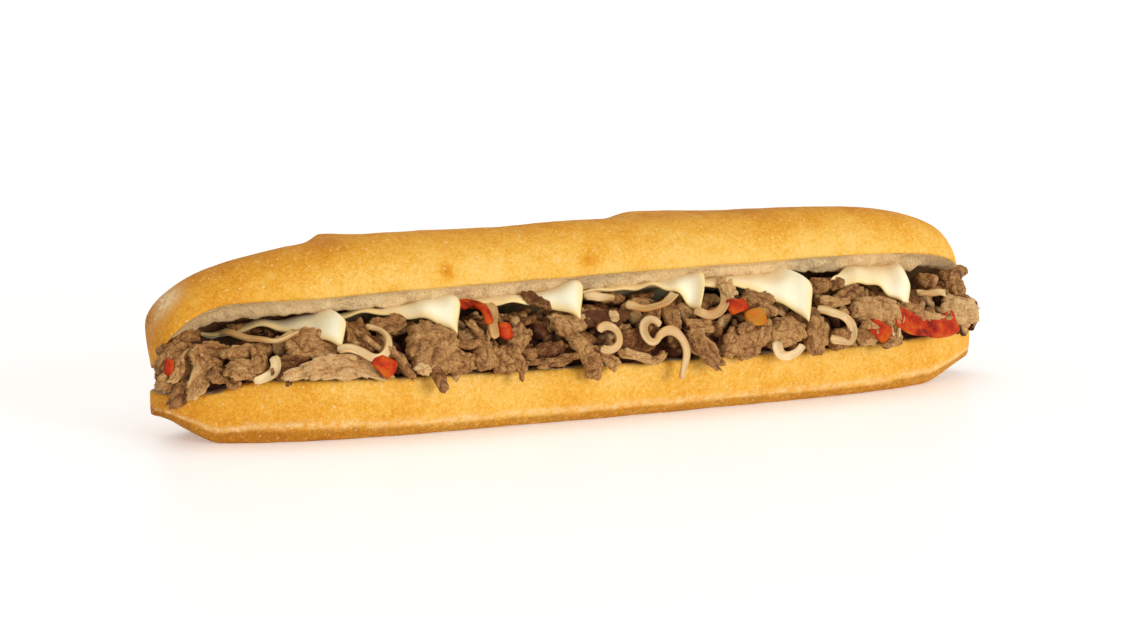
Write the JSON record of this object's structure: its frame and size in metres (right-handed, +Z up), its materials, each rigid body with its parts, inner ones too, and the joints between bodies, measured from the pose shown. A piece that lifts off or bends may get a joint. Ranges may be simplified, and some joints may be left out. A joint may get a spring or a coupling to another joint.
{
  "type": "cheesesteak",
  "caption": "Long split roll opened over a heap of chopped beef with onion and red pepper strips and a row of cheese triangles.",
  "frame": {"origin": "middle of the roll's flat base, on the plane it rests on", "axes": "+X along the roll, to the right when its open side faces the viewer; the open side faces -Y; +Z up"},
  "size_m": [0.3178, 0.0795, 0.0645],
  "materials": {
    "bread": "baked golden crust with a pale open crumb on the cut faces",
    "beef": "moist cooked chopped beef",
    "cheese": "smooth sliced white cheese, slightly softened",
    "onion": "soft glossy fried onion",
    "pepper": "soft glossy red pepper"
  },
  "bodies": {
    "root": {"roll": "bread", "beef": "beef", "cheese_1": "cheese", "cheese_2": "cheese", "cheese_3": "cheese", "cheese_4": "cheese", "cheese_5": "cheese", "cheese_6": "cheese", "onion_1": "onion", "onion_2": "onion", "onion_3": "onion", "onion_4": "onion", "onion_5": "onion", "onion_6": "onion", "onion_7": "onion", "onion_8": "onion", "onion_9": "onion", "onion_10": "onion", "onion_11": "onion", "onion_12": "onion", "onion_13": "onion", "pepper_1": "pepper", "pepper_2": "pepper", "pepper_3": "pepper", "pepper_4": "pepper", "pepper_5": "pepper", "pepper_6": "pepper", "pepper_7": "pepper", "pepper_8": "pepper", "pepper_9": "pepper"}
  },
  "joints": []
}
